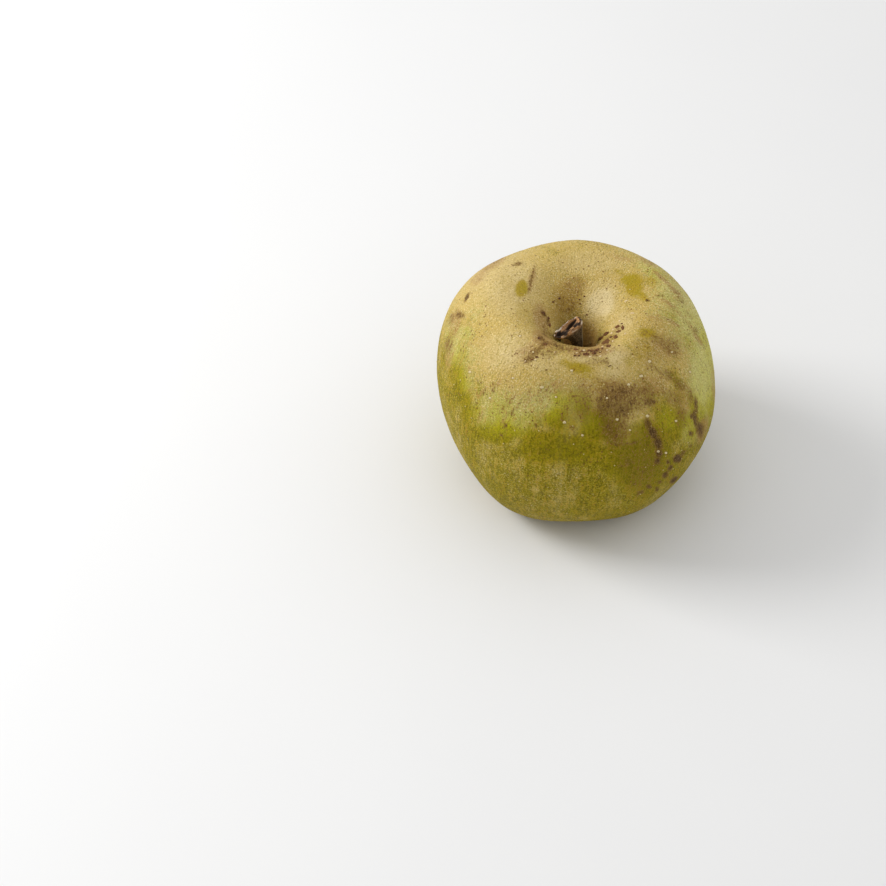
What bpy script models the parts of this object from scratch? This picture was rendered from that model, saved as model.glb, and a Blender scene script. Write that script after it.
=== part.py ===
"""A whole reinette apple: the fruit, the short woody stem in its cavity and the dry calyx in its basin.

Lengths are in metres and +Z is up. The apple stands upright on the crown lobes round its calyx basin,
and the origin is on the ground under the middle of the fruit.
"""

import math

import bmesh
import bpy
from mathutils import Matrix, Vector

MM = 0.001
COLLECTION = "reinette_apple"
CUTTERS = "cutters"

# The fruit's half section as a share of its half width and of its height, from the foot of the stem
# cavity, over the shoulder and the cheek, round the base and up into the calyx basin. A smooth curve
# follows it. The first and the last point lie across the axis, so that the skin is smooth there.
HALF_WIDTH = 39.0 * MM
HEIGHT = 62.0 * MM
SECTION = (
    (-0.066, 0.672),
    (0.000, 0.660),
    (0.066, 0.672),
    (0.106, 0.765),
    (0.150, 0.858),
    (0.215, 0.912),
    (0.300, 0.950),
    (0.440, 0.988),
    (0.650, 0.985),
    (0.850, 0.870),
    (0.985, 0.690),
    (1.040, 0.480),
    (0.985, 0.270),
    (0.835, 0.095),
    (0.630, 0.000),
    (0.440, 0.000),
    (0.310, 0.055),
    (0.200, 0.135),
    (0.105, 0.170),
    (0.000, 0.170),
    (-0.105, 0.170),
)

# How the grown fruit departs from a turned one. Azimuths are in radians from +X towards +Y.
# The axis leans, one shoulder stands higher, the cavity is oval and off centre with a dent where the
# stem's head grew against its lip, and five low lobes run from the base, where they carry the fruit,
# to the shoulders.
LEAN = Vector((1.6 * MM, 0.5 * MM))
SLANT = Vector((-0.163, -0.037))
CAVITY_OFFSET = Vector((-0.7 * MM, -5.4 * MM))
CAVITY_OVAL, CAVITY_AZIMUTH = 0.18, math.radians(94)
STEM_DENT, STEM_DENT_REACH, STEM_DENT_CENTRE = 2.8 * MM, 5.0 * MM, Vector((-7.5 * MM, -11.0 * MM))
OVAL, OVAL_AZIMUTH = 0.018, math.radians(85)
TRIANGULAR, TRIANGULAR_AZIMUTH = 0.012, math.radians(27)
SHOULDER_WAVE, SHOULDER_AZIMUTH = 2.4 * MM, math.radians(37)
LOBES, LOBE_AZIMUTH = 5, math.radians(20)
CHEEK_LOBE = 0.012
SHOULDER_LOBE = 0.5 * MM
CROWN_LOBE = 0.9 * MM

# Where each of these begins and ends along the section, as shares of the height or of the half width.
UPPER = 0.45, 0.95
LOWER = 0.50, 0.0
SHOULDER = 0.40, 0.75
CROWN = 0.0, 0.40
CAVITY = 0.62, 0.0
SLANTED = 0.0, 0.55

FRUIT_SEGMENTS = 72
FRUIT_RINGS = 54

# Pieces that touch keep this gap.
GAP = 0.3 * MM

# The stem from the cut head down to the foot: the middle of each section, its long and short half
# width, and how far its plane has turned from level, 0, to the oblique cut, 1. In millimetres.
STEM = (
    (-3.6, -7.4, 57.5, -1.0, -0.6, 1.0),
    (-3.6, -7.4, 57.5, 0.0, 0.0, 1.0),
    (-3.6, -7.4, 57.8, 3.2, 1.5, 1.0),
    (-3.7, -7.6, 58.6, 5.3, 2.6, 1.0),
    (-3.4, -7.3, 57.6, 5.6, 3.0, 1.0),
    (-2.4, -6.8, 55.9, 3.6, 2.3, 0.8),
    (-1.3, -6.3, 53.6, 2.2, 1.7, 0.5),
    (-0.5, -6.0, 50.8, 1.6, 1.5, 0.2),
    (-0.5, -5.6, 47.3, 1.4, 1.4, 0.0),
    (-0.7, -5.3, 43.2, 1.5, 1.5, 0.0),
    (-0.9, -5.1, 39.7, 1.6, 1.6, 0.0),
    (-0.9, -5.1, 39.0, 1.2, 1.2, 0.0),
    (-0.9, -5.1, 39.0, 0.0, 0.0, 0.0),
    (-0.9, -5.1, 39.0, -1.2, -1.2, 0.0),
)
LEVEL_AXES = Vector((-1, 0, 0)), Vector((0, -1, 0))
CUT_AXES = Vector((-0.69, -0.725, 0.00)), Vector((0.40, -0.85, 0.33))
STEM_SEGMENTS = 20
STEM_RINGS = 26
STEM_SOCKET_RADIUS = 1.9 * MM
STEM_SOCKET_FLOOR = 38.7 * MM
STEM_SOCKET_TOP = 43.0 * MM

# The calyx: a dished disc set in the floor of the basin, and five sepals that stand down from it,
# drawn in above the opening and curled out at their tips.
CALYX_CENTRE = Vector((-0.8 * MM, -0.25 * MM))
DISC_RADIUS = 3.8 * MM
DISC_TOP = 12.4 * MM
DISC_FOOT = 9.6 * MM
DISC_DISH = 1.2 * MM
DISC_DISHED = 0.7, 1.0
CALYX_SOCKET_FOOT = 6.0 * MM
DISC_SEGMENTS = 28
DISC_RINGS = 12
SEPALS = 5
SEPAL_TURN = math.radians(33)
SEPAL_PATH = (
    (3.2, 12.2),
    (3.3, 11.0),
    (3.3, 9.2),
    (3.0, 7.8),
    (3.1, 6.4),
    (3.9, 5.3),
    (5.2, 4.9),
    (6.2, 5.1),
)
SEPAL_WIDTH = 2.0 * MM
SEPAL_THICKNESS = 0.7 * MM
SEPAL_TAPER, SEPAL_TAPERED = 0.6, (0.35, 1.0)
SEPAL_HOLLOW = 0.2 * MM
SEPAL_STEP = 0.02
SEPAL_SEGMENTS = 8
SEPAL_RINGS = 13


def fade(value, start, end):
    """A smooth step from 0 at start to 1 at end."""
    share = min(max((value - start) / (end - start), 0.0), 1.0)
    return share * share * (3 - 2 * share)


def spline(points, share):
    """A uniform cubic B-spline that runs from the second point, 0, to the last but one, 1."""
    place = share * (len(points) - 3)
    index = min(int(place), len(points) - 4)
    t = place - index
    weights = (
        (1 - t) ** 3 / 6,
        (3 * t**3 - 6 * t**2 + 4) / 6,
        (-3 * t**3 + 3 * t**2 + 3 * t + 1) / 6,
        t**3 / 6,
    )
    near = points[index : index + 4]
    return tuple(sum(w * p[axis] for w, p in zip(weights, near)) for axis in range(len(near[0])))


def fruit_point(share, azimuth):
    """A point of the skin. share runs from the foot of the cavity, 0, over the cheek to the calyx, 1."""
    across, level = spline(SECTION, share)
    lower = fade(level, *LOWER)
    shoulder = fade(across, *SHOULDER) * fade(level, *UPPER)
    crown = fade(across, *CROWN) * lower
    cavity = fade(across, *CAVITY) if share < 0.5 else 0.0
    lobe = math.cos(LOBES * (azimuth - LOBE_AZIMUTH))

    radius = HALF_WIDTH * across
    radius *= (
        1
        + OVAL * math.cos(2 * (azimuth - OVAL_AZIMUTH))
        + CAVITY_OVAL * cavity * math.cos(2 * (azimuth - CAVITY_AZIMUTH))
        + TRIANGULAR * math.cos(3 * (azimuth - TRIANGULAR_AZIMUTH))
        + CHEEK_LOBE * lower * lobe
    )
    outward = Vector((math.cos(azimuth), math.sin(azimuth)))

    height = HEIGHT * level
    height += radius * SLANT.dot(outward) * fade(level, *SLANTED)
    height += shoulder * SHOULDER_WAVE * math.cos(2 * (azimuth - SHOULDER_AZIMUTH))
    height += shoulder * SHOULDER_LOBE * lobe
    height -= crown * CROWN_LOBE * lobe
    height = max(height, 0.0)

    place = LEAN * (level - 0.5) + CAVITY_OFFSET * cavity + outward * radius
    if share < 0.5:
        height -= STEM_DENT * math.exp(-(((place - STEM_DENT_CENTRE).length / STEM_DENT_REACH) ** 2))
    return Vector((*place, height))


def stem_point(share, azimuth):
    """A point of the stem. share runs from the middle of the cut head, 0, to the foot, 1."""
    x, y, z, long, short, turn = spline(STEM, share)
    long_axis, short_axis = (level.lerp(cut, turn).normalized() for level, cut in zip(LEVEL_AXES, CUT_AXES))
    across = long_axis * long * math.cos(azimuth) + short_axis * short * math.sin(azimuth)
    return (Vector((x, y, z)) + across) * MM


def disc_point(share, azimuth):
    """A point of the calyx disc, from the middle of its buried top, 0, to the middle of its dish, 1."""
    angle = share * math.pi
    radius = DISC_RADIUS * math.sin(angle) ** 0.5
    height = DISC_TOP + (DISC_FOOT - DISC_TOP) * fade(share, 0, 1)
    height += DISC_DISH * fade(share, *DISC_DISHED)
    return Vector((radius * math.cos(azimuth), radius * math.sin(azimuth), height))


def sepal_point(share, azimuth):
    """A point of a sepal that stands at +X, from its buried root, 0, to its curled tip, 1."""
    radius, height = (value * MM for value in spline(SEPAL_PATH, share))
    ahead, above = spline(SEPAL_PATH, min(share + SEPAL_STEP, 1.0))
    behind, below = spline(SEPAL_PATH, max(share - SEPAL_STEP, 0.0))
    along = Vector((ahead - behind, 0, above - below)).normalized()
    outward = along.cross(Vector((0, 1, 0)))
    end = math.sin(share * math.pi) ** 0.5
    width = SEPAL_WIDTH * end * (1 - SEPAL_TAPER * fade(share, *SEPAL_TAPERED))
    side = Vector((0, 1, 0)) * width * math.cos(azimuth)
    face = outward * (SEPAL_THICKNESS / 2 * end * math.sin(azimuth) + SEPAL_HOLLOW * math.cos(azimuth) ** 2)
    return Vector((radius, 0, height)) + side + face


def new_object(name, mesh, colour, roughness):
    """Links a mesh as a named part with its own material."""
    material = bpy.data.materials.new(name)
    material.use_nodes = True
    shader = material.node_tree.nodes["Principled BSDF"]
    shader.inputs["Base Color"].default_value = (*colour, 1)
    shader.inputs["Roughness"].default_value = roughness
    mesh.materials.append(material)
    part = bpy.data.objects.new(name, mesh)
    bpy.data.collections[COLLECTION].objects.link(part)
    return part


def new_cutter(name, mesh):
    """Links a mesh that only cuts or joins."""
    cutter = bpy.data.objects.new(name, mesh)
    cutter.hide_render = True
    cutter.display_type = "WIRE"
    bpy.data.collections[CUTTERS].objects.link(cutter)
    return cutter


def ball_mesh(name, segments, rings, place):
    """A closed mesh: a sphere whose points are moved to place(share from top to bottom, azimuth)."""
    ball = bmesh.new()
    bmesh.ops.create_uvsphere(ball, u_segments=segments, v_segments=rings, radius=1)
    for vertex in ball.verts:
        share = math.acos(min(max(vertex.co.z, -1.0), 1.0)) / math.pi
        vertex.co = place(share, math.atan2(vertex.co.y, vertex.co.x))
    mesh = bpy.data.meshes.new(name)
    ball.to_mesh(mesh)
    ball.free()
    mesh.shade_smooth()
    return mesh


def cut_socket(part, name, centre, radius, bottom, top):
    """Cuts a round upright hole in a part."""
    rod = bmesh.new()
    bmesh.ops.create_cone(
        rod,
        cap_ends=True,
        segments=24,
        radius1=radius,
        radius2=radius,
        depth=top - bottom,
        matrix=Matrix.Translation((*centre, (bottom + top) / 2)),
    )
    mesh = bpy.data.meshes.new(name)
    rod.to_mesh(mesh)
    rod.free()
    cut = part.modifiers.new(name, "BOOLEAN")
    cut.operation = "DIFFERENCE"
    cut.object = new_cutter(name, mesh)


def make_fruit():
    mesh = ball_mesh("fruit", FRUIT_SEGMENTS, FRUIT_RINGS, fruit_point)
    fruit = new_object("fruit", mesh, (0.42, 0.33, 0.09), 0.6)
    foot = Vector(STEM[-2][:2]) * MM
    cut_socket(fruit, "stem_socket", foot, STEM_SOCKET_RADIUS, STEM_SOCKET_FLOOR, STEM_SOCKET_TOP)
    cut_socket(fruit, "calyx_socket", CALYX_CENTRE, DISC_RADIUS + GAP, CALYX_SOCKET_FOOT, DISC_TOP + GAP)


def make_stem():
    mesh = ball_mesh("stem", STEM_SEGMENTS, STEM_RINGS, stem_point)
    new_object("stem", mesh, (0.13, 0.08, 0.045), 0.85)


def make_calyx():
    """Joins the disc and the five sepals in one body."""
    mesh = ball_mesh("calyx", DISC_SEGMENTS, DISC_RINGS, disc_point)
    calyx = new_object("calyx", mesh, (0.16, 0.14, 0.09), 0.9)
    sepals = bpy.data.collections.new("sepals")
    for index in range(SEPALS):
        blade = ball_mesh(f"sepal_{index}", SEPAL_SEGMENTS, SEPAL_RINGS, sepal_point)
        blade.transform(Matrix.Rotation(SEPAL_TURN + math.tau * index / SEPALS, 4, "Z"))
        sepals.objects.link(bpy.data.objects.new(blade.name, blade))
    bpy.data.collections[CUTTERS].children.link(sepals)
    join = calyx.modifiers.new("sepals", "BOOLEAN")
    join.operation = "UNION"
    join.operand_type = "COLLECTION"
    join.collection = sepals
    bpy.context.view_layer.update()
    joined = bpy.data.meshes.new_from_object(calyx.evaluated_get(bpy.context.evaluated_depsgraph_get()))
    joined.transform(Matrix.Translation((*CALYX_CENTRE, 0)))
    calyx.modifiers.remove(join)
    calyx.data = joined
    for blade in list(sepals.objects):
        bpy.data.objects.remove(blade)
    bpy.data.collections.remove(sepals)


def main():
    for old in list(bpy.data.objects):
        bpy.data.objects.remove(old)
    for name in (COLLECTION, CUTTERS):
        bpy.context.scene.collection.children.link(bpy.data.collections.new(name))
    make_fruit()
    make_stem()
    make_calyx()


main()
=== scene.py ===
"""The looks of a whole reinette apple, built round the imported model.

The skin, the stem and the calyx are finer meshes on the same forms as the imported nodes. Lenticels, scab
and the dry stamens are pieces of their own. Lengths are in metres unless a name or comment says mm, and
+Z is up. Marks are placed by their pixel in the 886 x 886 photograph, where it sees the skin.
"""

import math
import random

import bmesh
import bpy
import numpy as np
from mathutils import Matrix, Vector, noise
from mathutils.bvhtree import BVHTree


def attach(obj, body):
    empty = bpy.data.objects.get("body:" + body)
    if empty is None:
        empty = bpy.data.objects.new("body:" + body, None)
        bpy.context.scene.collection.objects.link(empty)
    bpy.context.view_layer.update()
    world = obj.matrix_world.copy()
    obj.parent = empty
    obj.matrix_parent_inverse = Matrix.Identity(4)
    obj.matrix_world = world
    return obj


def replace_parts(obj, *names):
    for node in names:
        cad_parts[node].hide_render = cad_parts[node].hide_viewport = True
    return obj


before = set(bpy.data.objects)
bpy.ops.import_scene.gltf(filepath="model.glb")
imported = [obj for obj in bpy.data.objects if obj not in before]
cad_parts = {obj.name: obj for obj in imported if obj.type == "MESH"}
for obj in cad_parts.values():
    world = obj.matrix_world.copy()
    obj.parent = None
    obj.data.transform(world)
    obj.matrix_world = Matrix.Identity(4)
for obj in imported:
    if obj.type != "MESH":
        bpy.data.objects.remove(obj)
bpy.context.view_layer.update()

MM = 0.001
SEED = 20

# The photograph's camera: it looks along +Y and down, past the fruit, which is right of the middle.
PHOTO_PIXELS = 886
FOCAL_PIXELS = 2871.5
PIXELS_PER_MM = 3.66
SENSOR_MM = 36.0
CAMERA_ELEVATION = math.radians(47.0)
CAMERA_DISTANCE = 0.8
CAMERA_TARGET = Vector((0, 0, 32 * MM))
CAMERA_ASIDE = 37.26 * MM
CAMERA_ABOVE = 18.9 * MM
RIGHT = Vector((1, 0, 0))
FORWARD = Vector((0, math.cos(CAMERA_ELEVATION), -math.sin(CAMERA_ELEVATION)))
UP = Vector((0, math.sin(CAMERA_ELEVATION), math.cos(CAMERA_ELEVATION)))
CAMERA_PLACE = CAMERA_TARGET - FORWARD * CAMERA_DISTANCE - RIGHT * CAMERA_ASIDE - UP * CAMERA_ABOVE
FLOOR_REACH = 14.0
LAMP_PLACE, LAMP_SIZE, LAMP_POWER = Vector((-0.64, 0.15, 0.46)), 0.34, 4.1
# The surroundings are brightest behind and above the fruit.
LIT_FROM = (0.3, 0.3, 0.9)
DIM_SIDE, BRIGHT_SIDE = -0.5, 0.9
DIM_AIR, BRIGHT_AIR = 0.3, 0.84

# The fruit's half section, as shares of its half width and height, and how it departs from a turned
# form. These repeat the part's own dimensions.
HALF_WIDTH = 38.95 * MM
HEIGHT = 62.0 * MM
SECTION = (
    (-0.066, 0.672), (0, 0.66), (0.066, 0.672), (0.106, 0.765), (0.15, 0.858), (0.215, 0.912),
    (0.3, 0.95), (0.44, 0.988), (0.65, 0.985), (0.85, 0.87), (0.985, 0.69), (1.04, 0.48), (0.985, 0.27),
    (0.835, 0.095), (0.63, 0), (0.44, 0), (0.31, 0.055), (0.2, 0.135), (0.105, 0.17), (0, 0.17),
    (-0.105, 0.17),
)
LEAN = Vector((1.6 * MM, 0.5 * MM))
SLANT = Vector((-0.163, -0.037))
CAVITY_OFFSET = Vector((-0.7 * MM, -5.4 * MM))
CAVITY_OVAL, CAVITY_AZIMUTH = 0.18, math.radians(94)
CALYX_CENTRE = Vector((-0.8 * MM, -0.25 * MM, 0.0))
STEM_DENT, STEM_DENT_REACH, STEM_DENT_CENTRE = 2.8 * MM, 5.0 * MM, Vector((-7.5 * MM, -11.0 * MM))
OVAL, OVAL_AZIMUTH = 0.018, math.radians(85)
TRIANGULAR, TRIANGULAR_AZIMUTH = 0.012, math.radians(27)
SHOULDER_WAVE, SHOULDER_AZIMUTH = 2.4 * MM, math.radians(37)
LOBES, LOBE_AZIMUTH = 5, math.radians(20)
CHEEK_LOBE = 0.012
SHOULDER_LOBE = 0.5 * MM
CROWN_LOBE = 0.9 * MM
# Where each change fades in, as shares of the half width or the height.
UPPER = 0.45, 0.95
LOWER = 0.5, 0.0
SHOULDER = 0.4, 0.75
CROWN = 0.0, 0.4
CAVITY = 0.62, 0.0
SLANTED = 0.0, 0.55
# The widest place, as a share of the way from the cavity to the calyx.
CHEEK = 0.5
SKIN_LAYOUT = 380, 258
SWELL_MM, SWELL_RISE_MM = 8.0, 0.11
DIMPLE_MM, DIMPLE_RISE_MM = 2.6, 0.035
NOISE_STEP = Vector((7.3, 3.1, 5.7))


def fade(value, start, end):
    """A smooth step from 0 at start to 1 at end."""
    share = np.clip((value - start) / (end - start), 0.0, 1.0)
    return share * share * (3 - 2 * share)


def spline(points, share):
    """A uniform cubic B-spline that runs from the second point, 0, to the last but one, 1."""
    points = np.array(points, dtype=float)
    place = share * (len(points) - 3)
    index = np.minimum(place.astype(int), len(points) - 4)
    t = place - index
    weights = (
        (1 - t) ** 3 / 6,
        (3 * t**3 - 6 * t**2 + 4) / 6,
        (-3 * t**3 + 3 * t**2 + 3 * t + 1) / 6,
        t**3 / 6,
    )
    return sum(weight[:, None] * points[index + step] for step, weight in enumerate(weights))


def unit(vectors):
    return vectors / np.linalg.norm(vectors, axis=1, keepdims=True)


def roughened(points, scale_mm, seed):
    """Noise from -1 to 1 at each point, in bumps of about scale_mm."""
    away = NOISE_STEP * seed
    return np.array([noise.noise(Vector(point) + away) for point in points / (scale_mm * MM)])


def globe_layout(segments, rings):
    """The share from pole to pole and the azimuth of each point of a closed mesh."""
    share = np.repeat(np.arange(1, rings) / rings, segments)
    azimuth = np.tile(np.arange(segments) * (math.tau / segments), rings - 1)
    return np.concatenate(([0.0], share, [1.0])), np.concatenate(([0.0], azimuth, [0.0]))


def closed_mesh(name, layout, place):
    """A closed mesh of segments and rings like a globe's, with its points at place(share, azimuth)."""
    segments, rings = layout
    points = place(*globe_layout(segments, rings))

    column = np.arange(segments)
    beside = (column + 1) % segments
    first = 1 + column + np.arange(rings - 2)[:, None] * segments
    second = 1 + beside + np.arange(rings - 2)[:, None] * segments
    quads = np.stack((first, first + segments, second + segments, second), axis=-1).reshape(-1, 4)
    last = len(points) - 1
    lowest = last - segments
    top = np.stack((np.zeros_like(column), 1 + column, 1 + beside), axis=1)
    foot = np.stack((np.full_like(column, last), lowest + beside, lowest + column), axis=1)

    mesh = bpy.data.meshes.new(name)
    mesh.from_pydata(points.tolist(), [], quads.tolist() + top.tolist() + foot.tolist())
    mesh.update()
    return mesh


def facing_out(mesh):
    """Turns the faces of closed shells outwards, and smooths their shading."""
    shells = bmesh.new()
    shells.from_mesh(mesh)
    bmesh.ops.recalc_face_normals(shells, faces=shells.faces)
    shells.to_mesh(mesh)
    shells.free()
    mesh.shade_smooth()
    return mesh


def joined(name, meshes):
    """One mesh of several closed ones."""
    whole = bmesh.new()
    for mesh in meshes:
        whole.from_mesh(mesh)
        bpy.data.meshes.remove(mesh)
    mesh = bpy.data.meshes.new(name)
    whole.to_mesh(mesh)
    whole.free()
    return facing_out(mesh)


def points_of(mesh):
    flat = np.empty(len(mesh.vertices) * 3)
    mesh.vertices.foreach_get("co", flat)
    return flat.reshape(-1, 3)


def linked(name, data):
    """A new object in the scene."""
    made = bpy.data.objects.new(name, data)
    bpy.context.scene.collection.objects.link(made)
    return made


def new_piece(name, mesh, material):
    """Links a finished mesh as a piece that rides with the fruit."""
    piece = linked(name, mesh)
    mesh.materials.clear()
    mesh.materials.append(material)
    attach(piece, "root")
    return piece


def set_attribute(mesh, name, values):
    """Keeps a number at each point of a mesh, for its material to read."""
    attribute = mesh.attributes.new(name, "FLOAT", "POINT")
    attribute.data.foreach_set("value", np.asarray(values, dtype=np.float32))


class Number:
    """A socket of a node, on which Python arithmetic adds Math nodes."""

    def __init__(self, wiring, socket):
        self.wiring = wiring
        self.socket = socket

    def math(self, operation, *others, clamp=False):
        inputs = dict(enumerate((self, *others)))
        return self.wiring.node("ShaderNodeMath", {"operation": operation, "use_clamp": clamp}, inputs)

    def __add__(self, other):
        return self.math("ADD", other)

    def __sub__(self, other):
        return self.math("SUBTRACT", other)

    def __mul__(self, other):
        return self.math("MULTIPLY", other)

    def __rsub__(self, other):
        return (self * -1.0) + other

    __radd__ = __add__
    __rmul__ = __mul__

    def clamped(self):
        return self.math("ADD", 0.0, clamp=True)


class Wiring:
    """Adds nodes to a tree."""

    def __init__(self, tree):
        self.tree = tree

    def node(self, kind, settings=None, inputs=None, output=0):
        """Adds a node: its settings first, then the values or links of its sockets."""
        node = self.tree.nodes.new(kind)
        for name, value in (settings or {}).items():
            setattr(node, name, value)
        for key, value in (inputs or {}).items():
            if isinstance(value, Number):
                self.tree.links.new(value.socket, node.inputs[key])
            else:
                node.inputs[key].default_value = value
        return Number(self, node.outputs[output])

    def vector(self, operation, inputs, output=0):
        return self.node("ShaderNodeVectorMath", {"operation": operation}, inputs, output)

    def step(self, value, start, end, low=0.0, high=1.0):
        """A smooth step of a number from low at start to high at end."""
        inputs = {"Value": value, "From Min": start, "From Max": end, "To Min": low, "To Max": high}
        return self.node("ShaderNodeMapRange", {"interpolation_type": "SMOOTHSTEP"}, inputs)


# Where a Mix node keeps its two colours, and the mixed one.
MIX_COLOURS, MIX_RESULT = (6, 7), 2


class Finish(Wiring):
    """A material's node tree, with its shader and the object's own coordinates in millimetres."""

    def __init__(self, name, constants):
        self.material = bpy.data.materials.new(name)
        self.material.use_nodes = True
        super().__init__(self.material.node_tree)
        self.shader = self.tree.nodes["Principled BSDF"]
        for socket, value in constants.items():
            self.shader.inputs[socket].default_value = value
        whole = self.node("ShaderNodeTexCoord", output="Object")
        scale = (1 / MM, 1 / MM, 1 / MM)
        self.place = self.node("ShaderNodeMapping", inputs={"Vector": whole, "Scale": scale})

    def noise(self, scale, detail, roughness=0.55, place=None):
        """Noise from 0 to 1. scale is in waves per millimetre."""
        inputs = {"Vector": place or self.place, "Scale": scale, "Detail": detail}
        return self.node("ShaderNodeTexNoise", inputs={**inputs, "Roughness": roughness})

    def scatter(self, scale, place):
        """How far the nearest of scattered points is. scale is in points per millimetre."""
        return self.node("ShaderNodeTexVoronoi", inputs={"Vector": place, "Scale": scale})

    def attribute(self, name, output="Fac"):
        return self.node("ShaderNodeAttribute", {"attribute_name": name}, output=output)

    def mix(self, factor, first, second):
        """Mixes two colours, each a triple or a socket."""
        inputs = {"Factor": factor}
        for key, colour in zip(MIX_COLOURS, (first, second)):
            inputs[key] = colour if isinstance(colour, Number) else (*colour, 1.0)
        return self.node("ShaderNodeMix", {"data_type": "RGBA"}, inputs, MIX_RESULT)

    def warped(self, amount, scale):
        """The coordinates pushed about by noise. amount is in millimetres."""
        inputs = {"Vector": self.place, "Scale": scale, "Detail": 2.0}
        push = self.node("ShaderNodeTexNoise", inputs=inputs, output="Color")
        centred = self.vector("SUBTRACT", {0: push, 1: (0.5, 0.5, 0.5)})
        scaled = self.vector("SCALE", {0: centred, "Scale": amount * 2})
        return self.vector("ADD", {0: self.place, 1: scaled})

    def finished(self, colour, roughness=None, height=None, relief_mm=None):
        """Feeds the shader with what changes over the surface. A height comes with its relief."""
        feeds = {"Base Color": colour}
        if roughness is not None:
            feeds["Roughness"] = roughness
        if height is not None:
            inputs = {"Height": height, "Distance": relief_mm * MM, "Strength": 1.0}
            feeds["Normal"] = self.node("ShaderNodeBump", inputs=inputs)
        for name, value in feeds.items():
            self.tree.links.new(value.socket, self.shader.inputs[name])
        return self.material


def skin_place(share, azimuth):
    """Points of the skin. share runs from the foot of the cavity, 0, over the cheek to the calyx, 1."""
    across, level = spline(SECTION, share).T
    lower = fade(level, *LOWER)
    shoulder = fade(across, *SHOULDER) * fade(level, *UPPER)
    crown = fade(across, *CROWN) * lower
    cavity = fade(across, *CAVITY) * (share < CHEEK)
    lobe = np.cos(LOBES * (azimuth - LOBE_AZIMUTH))

    radius = HALF_WIDTH * across
    radius *= (
        1
        + OVAL * np.cos(2 * (azimuth - OVAL_AZIMUTH))
        + CAVITY_OVAL * cavity * np.cos(2 * (azimuth - CAVITY_AZIMUTH))
        + TRIANGULAR * np.cos(3 * (azimuth - TRIANGULAR_AZIMUTH))
        + CHEEK_LOBE * lower * lobe
    )
    outward = np.column_stack((np.cos(azimuth), np.sin(azimuth)))

    height = HEIGHT * level
    height += radius * (outward @ np.array(SLANT)) * fade(level, *SLANTED)
    height += shoulder * SHOULDER_WAVE * np.cos(2 * (azimuth - SHOULDER_AZIMUTH))
    height += shoulder * SHOULDER_LOBE * lobe
    height -= crown * CROWN_LOBE * lobe
    height = np.maximum(height, 0.0)

    place = np.outer(level - 0.5, LEAN) + np.outer(cavity, CAVITY_OFFSET) + outward * radius[:, None]
    aside = np.linalg.norm(place - np.array(STEM_DENT_CENTRE), axis=1)
    height -= STEM_DENT * np.exp(-((aside / STEM_DENT_REACH) ** 2)) * (share < CHEEK)
    return np.column_stack((place, height))


def make_camera():
    data = bpy.data.cameras.new("photo_camera")
    data.sensor_width = SENSOR_MM
    data.lens = FOCAL_PIXELS / PHOTO_PIXELS * SENSOR_MM
    camera = linked("photo_camera", data)
    camera.location = CAMERA_PLACE
    camera.rotation_euler = FORWARD.to_track_quat("-Z", "Y").to_euler()
    bpy.context.scene.camera = camera


def make_lamp():
    """A broad soft lamp on the left, a little behind the fruit."""
    data = bpy.data.lights.new("window_lamp", "AREA")
    data.size = LAMP_SIZE
    data.energy = LAMP_POWER
    lamp = linked("window_lamp", data)
    lamp.location = LAMP_PLACE
    lamp.rotation_euler = (CAMERA_TARGET - LAMP_PLACE).to_track_quat("-Z", "Y").to_euler()


def make_floor():
    """A plain pale floor of paper."""
    floor_mesh = bpy.data.meshes.new("floor")
    plane = bmesh.new()
    bmesh.ops.create_grid(plane, x_segments=1, y_segments=1, size=FLOOR_REACH)
    plane.to_mesh(floor_mesh)
    plane.free()
    paper = Finish("floor_paper", {"Roughness": 0.9})
    tone = paper.noise(0.01, 2.0)
    floor_mesh.materials.append(paper.finished(paper.mix(tone, (0.8, 0.8, 0.8), (0.83, 0.83, 0.825))))
    floor = linked("floor", floor_mesh)


def make_surroundings():
    """White surroundings that are paler behind and above."""
    world = bpy.data.worlds.new("surroundings")
    world.use_nodes = True
    air = Wiring(world.node_tree)
    facing = air.node("ShaderNodeTexCoord", output="Generated")
    level = air.vector("DOT_PRODUCT", {0: facing, 1: LIT_FROM}, "Value")
    strength = air.step(level, DIM_SIDE, BRIGHT_SIDE, DIM_AIR, BRIGHT_AIR)
    background = world.node_tree.nodes["Background"]
    background.inputs["Color"].default_value = (1, 1, 1, 1)
    world.node_tree.links.new(strength.socket, background.inputs["Strength"])
    bpy.context.scene.world = world
    bpy.context.scene.view_settings.view_transform = "Standard"


def pixels_of(points):
    """The columns and rows of the photograph where points are seen."""
    away = points - np.array(CAMERA_PLACE)
    depth = away @ np.array(FORWARD)
    columns = PHOTO_PIXELS / 2 + FOCAL_PIXELS * (away @ np.array(RIGHT)) / depth
    return columns, PHOTO_PIXELS / 2 - FOCAL_PIXELS * (away @ np.array(UP)) / depth


def pixel_ray(column, row):
    middle = PHOTO_PIXELS / 2
    aim = FORWARD + RIGHT * ((column - middle) / FOCAL_PIXELS) + UP * ((middle - row) / FOCAL_PIXELS)
    return aim.normalized()


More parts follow.
